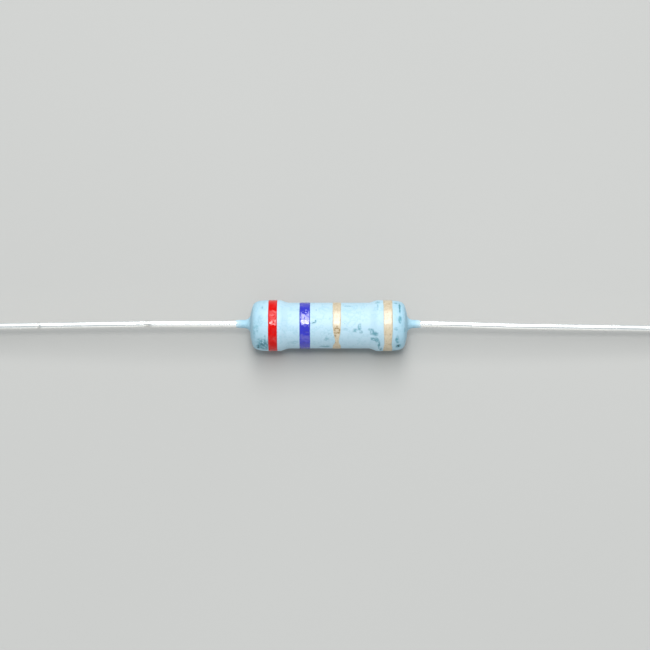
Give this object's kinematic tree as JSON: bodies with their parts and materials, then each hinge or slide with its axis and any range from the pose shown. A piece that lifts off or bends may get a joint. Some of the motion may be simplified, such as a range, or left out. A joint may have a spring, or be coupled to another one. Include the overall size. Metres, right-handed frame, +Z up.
{
  "type": "axial-lead resistor",
  "caption": "Fixed resistor with a lacquered barrel body, painted colour bands and a tinned wire lead out of each end, for bending into a circuit board.",
  "frame": {"origin": "on the surface that the body lies on, under the middle of the body", "axes": "+X along the body from the red band's end to the last gold band's end, +Z up from the surface, +Y to the side that the welds sit off centre to"},
  "size_m": [0.0712, 0.005, 0.005],
  "materials": {
    "rod_ceramic": "fired, ground, unglazed",
    "film": "thin deposited metal-oxide film",
    "cap_steel": "pressed and tin plated",
    "tinned_wire": "hot-tinned copper, lightly scratched",
    "blue_lacquer": "satin cured lacquer, finely wrinkled",
    "red_paint": "satin marking paint",
    "violet_paint": "satin marking paint",
    "gold_paint": "metallic marking paint with brown specks"
  },
  "bodies": {
    "root": {"ceramic_rod": "rod_ceramic", "resistive_film": "film", "end_cap_left": "cap_steel", "end_cap_right": "cap_steel", "lead_left": "tinned_wire", "lead_right": "tinned_wire", "lacquer_coat": "blue_lacquer", "red_band": "red_paint", "violet_band": "violet_paint", "gold_multiplier_band": "gold_paint", "gold_tolerance_band": "gold_paint"}
  },
  "joints": []
}
